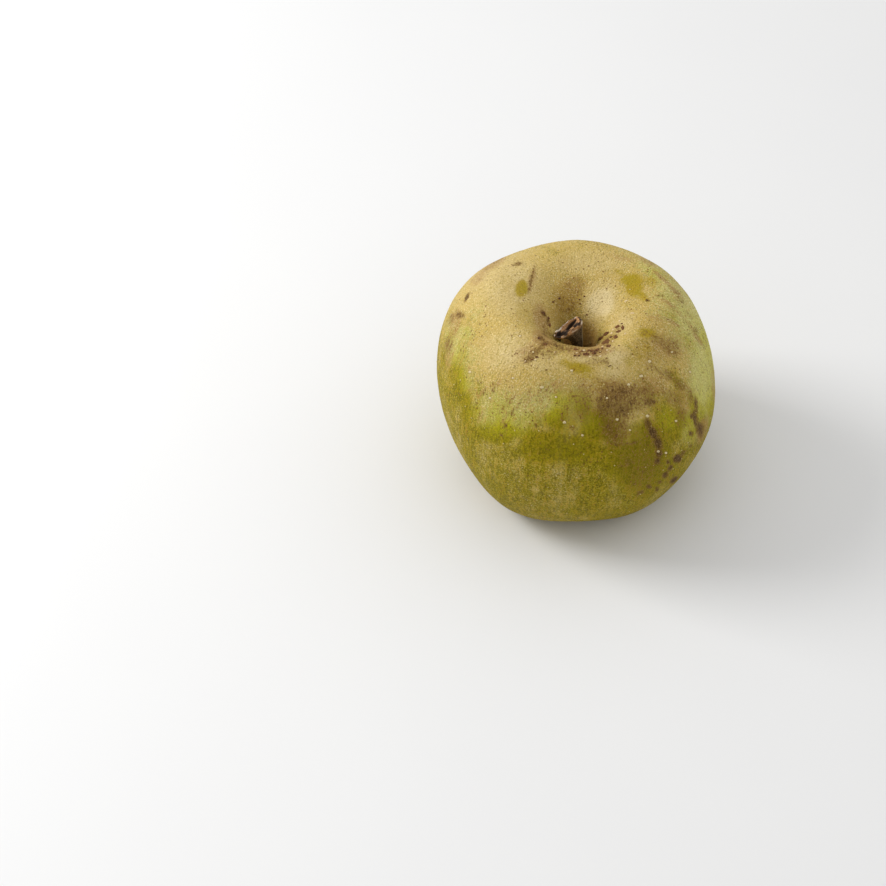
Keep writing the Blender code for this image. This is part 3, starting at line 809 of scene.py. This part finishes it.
def strewn_lenticels(skin, material):
    """Small corky domes strewn over the skin by Geometry Nodes, as one plain mesh."""
    sizes = {"Spacing": 2.6 * MM, "Density": 34000.0, "Smallest": 0.12 * MM, "Largest": 0.25 * MM}
    sizes["Rise"] = 0.45
    group = bpy.data.node_groups.new("strewn_lenticels", "GeometryNodeTree")
    kinds = {"Geometry": "Geometry", **dict.fromkeys(sizes, "Float"), "Seed": "Int"}
    sockets = {}
    for name, kind in kinds.items():
        sockets[name] = group.interface.new_socket(name, in_out="INPUT", socket_type=f"NodeSocket{kind}")
    group.interface.new_socket("Geometry", in_out="OUTPUT", socket_type="NodeSocketGeometry")

    wiring = Wiring(group)
    given = group.nodes.new("NodeGroupInput").outputs
    taken = {name: Number(wiring, given[name]) for name in kinds}
    chosen = {"Distance Min": taken["Spacing"], "Density Max": taken["Density"], "Seed": taken["Seed"]}
    chosen["Mesh"] = taken["Geometry"]
    settings = {"distribute_method": "POISSON"}
    spots = wiring.node("GeometryNodeDistributePointsOnFaces", settings, chosen, "Points")
    facing = Number(wiring, spots.socket.node.outputs["Rotation"])
    dome = wiring.node("GeometryNodeMeshUVSphere", inputs={"Segments": 8, "Rings": 5, "Radius": 1.0})
    dome = wiring.node("GeometryNodeSetShadeSmooth", inputs={"Geometry": dome})
    flat = wiring.node("ShaderNodeCombineXYZ", inputs={"X": 1.0, "Y": 1.0, "Z": taken["Rise"]})
    dome = wiring.node("GeometryNodeTransform", inputs={"Geometry": dome, "Scale": flat})
    spread = {2: taken["Smallest"], 3: taken["Largest"], "Seed": taken["Seed"]}
    width = wiring.node("FunctionNodeRandomValue", {"data_type": "FLOAT"}, spread, 1)
    laid = {"Points": spots, "Instance": dome, "Rotation": facing, "Scale": width}
    whole = wiring.node("GeometryNodeInstanceOnPoints", inputs=laid)
    whole = wiring.node("GeometryNodeRealizeInstances", inputs={"Geometry": whole})
    whole = wiring.node("GeometryNodeSetMaterial", inputs={"Geometry": whole, "Material": material})
    result = group.nodes.new("NodeGroupOutput")
    group.links.new(whole.socket, result.inputs["Geometry"])

    source = linked("lenticel_ground", skin.mesh.copy())
    modifier = source.modifiers.new("strewn_lenticels", "NODES")
    modifier.node_group = group
    for name, value in {**sizes, "Seed": SEED}.items():
        modifier[sockets[name].identifier] = value
    grown = source.evaluated_get(bpy.context.evaluated_depsgraph_get())
    mesh = bpy.data.meshes.new_from_object(grown)
    source.modifiers.remove(modifier)
    bpy.data.objects.remove(source)
    return mesh


def make_marks(skin):
    """The scab round the cavity, the pale chips in it, and the lenticels."""
    chance = random.Random(SEED)
    new_piece("scab", plates_mesh("scab", skin, SCAB_FLAKES, chance, **FLAKE), scab_finish())
    chips = plates_mesh("chips", skin, PALE_CHIPS, chance, **CHIP)
    plates = [(*spot, width, width * LENTICEL_OVAL, 0) for *spot, width in LARGE_LENTICELS]
    large = plates_mesh("large_lenticels", skin, plates, chance, **LENTICEL)
    pale_cork = corky_finish("pale_cork", (0.56, 0.44, 0.2), (0.8, 0.68, 0.42))
    tan_cork = corky_finish("tan_cork", (0.48, 0.37, 0.11), (0.68, 0.56, 0.25))
    torn_skin = corky_finish("torn_skin", (0.56, 0.4, 0.2), (0.82, 0.66, 0.4))
    new_piece("large_lenticels", large, pale_cork)
    new_piece("chips", chips, torn_skin)
    new_piece("lenticels", strewn_lenticels(skin, tan_cork), tan_cork)


# The stem, in mm: rows from the middle of its torn head to its foot, each with a centre, half a length,
# half a width, and how far the cross-section is turned from level to the tear.
STEM = (
    (-3.6, -7.4, 57.5, -1, -0.6, 1),
    (-3.6, -7.4, 57.5, 0, 0, 1),
    (-3.6, -7.4, 57.8, 3.2, 1.5, 1),
    (-3.7, -7.6, 58.6, 5.3, 2.6, 1),
    (-3.4, -7.3, 57.6, 5.6, 3, 1),
    (-2.4, -6.8, 55.9, 3.6, 2.3, 0.8),
    (-1.3, -6.3, 53.6, 2.2, 1.7, 0.5),
    (-0.5, -6, 50.8, 1.6, 1.5, 0.2),
    (-0.5, -5.6, 47.3, 1.4, 1.4, 0),
    (-0.7, -5.3, 43.2, 1.5, 1.5, 0),
    (-0.9, -5.1, 39.7, 1.6, 1.6, 0),
    (-0.9, -5.1, 39, 1.2, 1.2, 0),
    (-0.9, -5.1, 39, 0, 0, 0),
    (-0.9, -5.1, 39, -1.2, -1.2, 0),
)
LEVEL_AXES = np.array(((-1.0, 0.0, 0.0), (0.0, -1.0, 0.0)))
TORN_AXES = np.array(((-0.69, -0.725, 0.0), (0.4, -0.85, 0.33)))
TORN_FACING = np.array((-0.254, 0.242, 0.936))
HEAD_LENGTH, HEAD_WIDTH = 5.4, 2.7
HEAD_SQUARE, HEAD_SQUARED = 0.8, (0.25, 0.5)
STEM_LAYOUT = 160, 200
# Shares of the way from the head's middle to the foot.
SIDE_FROM, FOOT_FROM = (0.12, 0.2), (0.85, 1.0)
LIP_FROM, LIP_TO = (0.1, 0.19), (0.19, 0.3)
HEAD_TO, RIM_TO, HOLLOW_TO = (0.24, 0.34), (0.26, 0.34), 0.3
# The head's relief: depths in mm, how many waves there are, and where they start.
CUP_EDGE, CUP_DEPTH = (0.62, 0.9), 0.35
LIP_DEPTH, LIP_WAVES = 0.3, ((5, 0.7), (2, 2.0))
LIP_CHIP, LIP_CHIPS = 0.14, 11
GROOVE_DEPTH, GROOVES, GROOVE_BENDS, GROOVE_BEND = 0.16, 24, 5, 1.5
HEAD_ONLY = 0.85
# Painted shade: how the bark's grooves and the head's hollows darken with their depth in mm.
BARK_DEPTH, BARK_SHADE = 0.35, 0.6
HEAD_LIT, HEAD_DEPTH = 0.15, 0.75
# Hollows in the torn head: pixel, half width and height in pixels, turn in degrees and depth in mm. The
# depth is less than 0 where a fibre stands up.
HEAD_HOLLOWS = (
    (557.8, 332.8, 3.1, 2.6, 30, 2.3), (563.4, 332.2, 2.6, 1.7, 25, 1.6),
    (570.8, 323, 5.2, 1.1, 47, 1.9), (576.4, 324.6, 3, 2, 45, 1.8), (568, 330, 2.4, 1, 40, 0.9),
    (575.4, 317.6, 1.8, 0.9, 10, 0.7), (560.5, 331, 0.8, 2.4, -20, -0.45),
    (573.2, 326.8, 4.8, 0.9, 48, -0.55), (563.5, 324.5, 11, 1.3, 44, -0.35),
    (581, 324, 1.2, 5, -8, -0.3), (571, 334, 7, 1.1, 22, -0.3),
)
# Pale wood along the head's torn edge, with a painted highlight on its upper left: pixel, half width and
# height in pixels, turn in degrees and strength.
HEAD_RIM_AND_HIGHLIGHT = (
    (559, 329.2, 3.8, 1.8, 38, 1.1), (567, 320.8, 4.2, 1.4, 55, 1), (563, 325.2, 3, 1.4, 44, 0.6),
    (556, 330.6, 2.6, 1.3, 35, 1), (554.2, 335, 1.2, 3, 0, 0.7), (573.5, 318.2, 4, 1.1, 25, 0.8),
    (581.8, 322.5, 1.1, 5.5, -12, 0.7), (575, 331, 6, 1, 32, 0.7), (564.5, 336.6, 5, 0.8, 15, 0.6),
)
# Ridges of the bark: how many go round, where they start and how deep they are in mm.
BARK_RIDGES = ((7, 0.8, 0.12), (12, 2.1, 0.09), (19, 4.0, 0.06))
BARK_TWIST = 2.6
STRIP_AZIMUTH, STRIP_REACH = math.radians(158), math.radians(30)


def stem_rows(share):
    """Centres in mm, half lengths, half widths, and the two axes of the stem's cross-sections."""
    rows = spline(STEM, share)
    turn = rows[:, 5:6]
    long_axis = unit(LEVEL_AXES[0] * (1 - turn) + TORN_AXES[0] * turn)
    short_axis = unit(LEVEL_AXES[1] * (1 - turn) + TORN_AXES[1] * turn)
    return rows[:, :3], rows[:, 3], rows[:, 4], long_axis, short_axis


def stem_bare(share, azimuth):
    """Points in mm on the smooth stem, and the way out of it at each."""
    centre, long, short, long_axis, short_axis = stem_rows(share)
    square = 1 - (1 - HEAD_SQUARE) * (1 - fade(share, *HEAD_SQUARED))
    cos, sin = (np.sign(wave) * np.abs(wave) ** square for wave in (np.cos(azimuth), np.sin(azimuth)))
    across = long_axis * (long * cos)[:, None] + short_axis * (short * sin)[:, None]
    return centre + across, across / (np.linalg.norm(across, axis=1, keepdims=True) + 0.01)


def stem_relief(share, azimuth):
    """How far bark and hollows sink the stem's surface, in mm: from the side, and from the head."""
    side = fade(share, *SIDE_FROM)
    foot = 1 - fade(share, *FOOT_FROM)
    ridges = np.zeros_like(share)
    for count, start, depth in BARK_RIDGES:
        turned = count * azimuth + start + BARK_TWIST * share * math.tau / count
        ridges += depth * (0.5 - 0.5 * np.cos(turned))
    lip = fade(share, *LIP_FROM) * (1 - fade(share, *LIP_TO))
    first, second = (np.cos(count * azimuth + start) for count, start in LIP_WAVES)
    lips = LIP_DEPTH + LIP_DEPTH * first * second + LIP_CHIP * np.cos(LIP_CHIPS * azimuth)
    _, long, short, _, _ = stem_rows(share)
    along, across = long * np.cos(azimuth) / HEAD_LENGTH, short * np.sin(azimuth) / HEAD_WIDTH
    sunk = CUP_DEPTH * (1 - fade(np.sqrt(along**2 + across**2), *CUP_EDGE))
    columns, rows = pixels_of(stem_bare(share, azimuth)[0] * MM)
    for *oval, depth in HEAD_HOLLOWS:
        sunk += depth * np.exp(-(oval_distance(columns, rows, *oval) ** 2))
    groove = np.cos(across * GROOVES + np.cos(along * GROOVE_BENDS) * GROOVE_BEND)
    sunk += GROOVE_DEPTH * (0.5 + 0.5 * groove)
    return (ridges * foot + lips * lip) * side, sunk * (1 - side * HEAD_ONLY) * (share < HOLLOW_TO)


def stem_place(share, azimuth):
    bare, outward = stem_bare(share, azimuth)
    sunk_side, sunk_head = stem_relief(share, azimuth)
    return (bare - outward * sunk_side[:, None] - TORN_FACING * sunk_head[:, None]) * MM


def stem_finish():
    bark = Finish("stem_bark", {"Specular IOR Level": 0.3})
    depth_shade, head = bark.attribute("depth_shade"), bark.attribute("head")
    strip, rim_and_highlight = bark.attribute("strip"), bark.attribute("rim_and_highlight")
    fibre = bark.noise(1.6, 4.0, 0.6)
    crumb = bark.noise(4.0, 3.0, 0.6)
    neck = bark.mix(bark.step(fibre, 0.35, 0.68), (0.036, 0.024, 0.013), (0.19, 0.14, 0.08))
    neck = bark.mix(strip * 0.85, neck, (0.33, 0.28, 0.18))
    tip = bark.mix(bark.step(crumb, 0.35, 0.62), (0.27, 0.115, 0.032), (0.56, 0.31, 0.13))
    tip = bark.mix(bark.step(fibre, 0.56, 0.68) * 0.5, tip, (0.82, 0.7, 0.52))
    # Pale wood and a painted highlight along the torn head's edge.
    tip = bark.mix(bark.step(rim_and_highlight + (crumb - 0.5) * 0.6, 0.25, 0.75), tip, (0.9, 0.8, 0.64))
    colour = bark.mix(head, neck, tip)
    # Painted shade, darker the deeper the bark's grooves and the head's hollows.
    dark = bark.step(depth_shade + (crumb - 0.5) * 0.35, 0.25, 0.8)
    colour = bark.mix(dark * 0.96, colour, (0.014, 0.007, 0.004))
    return bark.finished(colour, crumb * 0.3 + 0.5, fibre * 0.6 + crumb * 0.6, 0.16)


def make_stem():
    mesh = closed_mesh("stem", STEM_LAYOUT, stem_place)
    share, azimuth = globe_layout(*STEM_LAYOUT)
    sunk_side, sunk_head = stem_relief(share, azimuth)
    depth_shade = np.maximum(sunk_side / BARK_DEPTH * BARK_SHADE, (sunk_head - HEAD_LIT) / HEAD_DEPTH)
    set_attribute(mesh, "depth_shade", depth_shade)
    set_attribute(mesh, "head", 1 - fade(share, *HEAD_TO))
    columns, rows = pixels_of(points_of(mesh))
    rim_and_highlight = np.zeros_like(share)
    for *oval, strength in HEAD_RIM_AND_HIGHLIGHT:
        rim_and_highlight = np.maximum(rim_and_highlight, strength * np.exp(-(oval_distance(columns, rows, *oval) ** 2)))
    set_attribute(mesh, "rim_and_highlight", rim_and_highlight * (1 - fade(share, *RIM_TO)))
    apart = np.abs((azimuth - STRIP_AZIMUTH + math.pi) % math.tau - math.pi)
    set_attribute(mesh, "strip", 1 - fade(apart, 0, STRIP_REACH))
    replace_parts(new_piece("stem", facing_out(mesh), stem_finish()), "stem")


# The calyx, as the part has it, hangs in its basin under the fruit.
DISC_RADIUS = 3.8 * MM
DISC_TOP = 12.4 * MM
DISC_FOOT = 9.6 * MM
DISC_DISH, DISC_DISHED = 1.2 * MM, (0.7, 1.0)
DISC_FRILL, DISC_FRILLS = 0.03, 11
DISC_RIB, DISC_RIBS, RIBBED_FROM, RIBBED_TO = 0.12 * MM, 10, (0.6, 0.8), (0.9, 1.0)
DISC_LAYOUT, SEPAL_LAYOUT, STRAND_LAYOUT = (120, 40), (48, 60), (10, 16)
SEPALS = 5
SEPAL_TURN = math.radians(33)
# A sepal's middle line in mm: how far out it is, and how high.
SEPAL_PATH = (
    (3.2, 12.2), (3.3, 11), (3.3, 9.2), (3, 7.8), (3.1, 6.4), (3.9, 5.3), (5.2, 4.9), (6.2, 5.1),
)
SEPAL_WIDTH = 2.0 * MM
SEPAL_THICKNESS = 0.7 * MM
SEPAL_TAPER, SEPAL_TAPERED = 0.6, (0.35, 1.0)
SEPAL_HOLLOW = 0.2 * MM
# A sepal's waves: how fast they run along it, change with its bend, and run across it.
SEPAL_WAVE, SEPAL_WAVES, SEPAL_WAVED = 0.22 * MM, (9, 5, 3), (0.3, 0.8)
SEPAL_RIB, SEPAL_RIB_REACH = 0.1 * MM, 0.3 * MM
SEPAL_VEIN, SEPAL_VEINS = 0.05 * MM, 9
SEPAL_SWAY, SEPAL_SWAYED = 0.5 * MM, (0.4, 1.0)
# Strands, in mm: how far out a style or a stamen stands and leans, and how high its end is.
STAMENS, STYLES = 14, 5
STYLE_OUT, STYLE_END = 0.35, (5.6, 6.6)
STAMEN_OUT, STAMEN_LEAN, STAMEN_END = 2.2, (0.7, 1.6), (6.3, 7.6)
# How far its place round the middle varies, in radians.
STRAND_TURN = 0.15
STRAND_THICK_MM, STRAND_THIN_MM = 0.22, 0.13
# No strand runs this way.
ASIDE = np.array((0.31, 0.95, 0.05))
PATH_STEP = 0.02


def rounded(share):
    """The width of a form whose two ends are round, from 0 to 1."""
    return np.sqrt(np.clip(np.sin(share * math.pi), 0, 1))


def path_course(path, share):
    """The direction of a path at each share of its length."""
    ahead = spline(path, np.minimum(share + PATH_STEP, 1.0))
    return unit(ahead - spline(path, np.maximum(share - PATH_STEP, 0.0)))


def disc_place(share, azimuth):
    radius = DISC_RADIUS * rounded(share)
    radius = radius * (1 + DISC_FRILL * np.cos(DISC_FRILLS * azimuth))
    height = DISC_TOP + (DISC_FOOT - DISC_TOP) * fade(share, 0, 1)
    height = height + DISC_DISH * fade(share, *DISC_DISHED)
    ribbed = fade(share, *RIBBED_FROM) * (1 - fade(share, *RIBBED_TO))
    height = height - DISC_RIB * np.cos(DISC_RIBS * azimuth) * ribbed
    return np.column_stack((radius * np.cos(azimuth), radius * np.sin(azimuth), height))


def sepal_place(bend):
    """The points of one sepal that stands at +X. bend sets its own twist and curl."""

    def place(share, azimuth):
        path = spline(SEPAL_PATH, share) * MM
        along = path_course(SEPAL_PATH, share)
        outward = np.column_stack((-along[:, 1], np.zeros_like(share), along[:, 0]))
        end = rounded(share)
        width = SEPAL_WIDTH * end * (1 - SEPAL_TAPER * fade(share, *SEPAL_TAPERED))
        side = width * np.cos(azimuth)
        onward, bent, sideways = SEPAL_WAVES
        wave = np.sin(share * onward + bend * bent + sideways * side / SEPAL_WIDTH)
        wave = SEPAL_WAVE * wave * fade(share, *SEPAL_WAVED)
        rib = SEPAL_RIB * np.exp(-((side / SEPAL_RIB_REACH) ** 2))
        rib = rib - SEPAL_VEIN * np.cos(side / MM * SEPAL_VEINS)
        face = SEPAL_THICKNESS / 2 * end * np.sin(azimuth) + SEPAL_HOLLOW * np.cos(azimuth) ** 2
        face = face + (wave + rib) * end
        sway = bend * SEPAL_SWAY * fade(share, *SEPAL_SWAYED)
        points = np.column_stack((path[:, 0], side + sway, path[:, 1]))
        return points + outward * face[:, None]

    return place


def strand_path(chance, style):
    """The path in mm of one strand: a style stands in the middle, and a stamen leans in to it."""
    root, lean = (STYLE_OUT, STYLE_OUT) if style else (STAMEN_OUT, chance.uniform(*STAMEN_LEAN))
    end = chance.uniform(*(STYLE_END if style else STAMEN_END))
    path = [(root * 1.05, 0, 11.4), (root, 0, 10.6), (root * 0.95, 0, 9.4)]
    path += [(lean * 1.1, chance.uniform(-0.3, 0.3), 8.2), (lean, chance.uniform(-0.5, 0.5), end)]
    return path + [(lean * 1.2, chance.uniform(-0.5, 0.5), end - 0.8)]


def strand_place(path):
    """The points of a dry strand along a path in mm, which thins towards its end."""

    def place(share, azimuth):
        along = path_course(path, share)
        side = unit(np.cross(along, ASIDE))
        other = np.cross(along, side)
        radius = STRAND_THICK_MM + (STRAND_THIN_MM - STRAND_THICK_MM) * share
        radius = radius * rounded(share) ** 0.5
        reach = side * (radius * np.cos(azimuth))[:, None] + other * (radius * np.sin(azimuth))[:, None]
        return (spline(path, share) + reach) * MM

    return place


def calyx_finish(name, dark, pale, woolly):
    felt = Finish(name, {"Specular IOR Level": 0.15})
    fibre = felt.noise(2.2, 4.0, 0.65)
    patch = felt.noise(0.5, 3.0)
    colour = felt.mix(felt.step(patch, 0.3, 0.7), dark, pale)
    colour = felt.mix(felt.step(fibre, 0.52, 0.72) * 0.8, colour, woolly)
    return felt.finished(colour, fibre * 0.2 + 0.7, fibre, 0.12)


def make_calyx():
    chance = random.Random(SEED + 1)
    parts = [closed_mesh("disc", DISC_LAYOUT, disc_place)]
    for index in range(SEPALS):
        blade = closed_mesh(f"sepal_{index}", SEPAL_LAYOUT, sepal_place(chance.uniform(-1, 1)))
        blade.transform(Matrix.Rotation(SEPAL_TURN + math.tau * index / SEPALS, 4, "Z"))
        parts.append(blade)
    calyx = joined("calyx", parts)
    calyx.transform(Matrix.Translation(CALYX_CENTRE))
    felt = calyx_finish("calyx_felt", (0.1, 0.07, 0.03), (0.26, 0.215, 0.105), (0.48, 0.43, 0.28))
    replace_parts(new_piece("calyx", calyx, felt), "calyx")

    strands = []
    for index in range(STAMENS + STYLES):
        angle = math.tau * index / STAMENS + chance.uniform(-STRAND_TURN, STRAND_TURN)
        path = strand_path(chance, index >= STAMENS)
        strand = closed_mesh(f"strand_{index}", STRAND_LAYOUT, strand_place(path))
        strand.transform(Matrix.Rotation(angle, 4, "Z"))
        strands.append(strand)
    stamens = joined("stamens", strands)
    stamens.transform(Matrix.Translation(CALYX_CENTRE))
    dry = calyx_finish("dry_stamen", (0.03, 0.018, 0.01), (0.09, 0.055, 0.028), (0.2, 0.14, 0.08))
    new_piece("stamens", stamens, dry)


make_camera()
make_floor()
make_lamp()
make_surroundings()
fruit_skin = make_fruit()
make_marks(fruit_skin)
make_stem()
make_calyx()
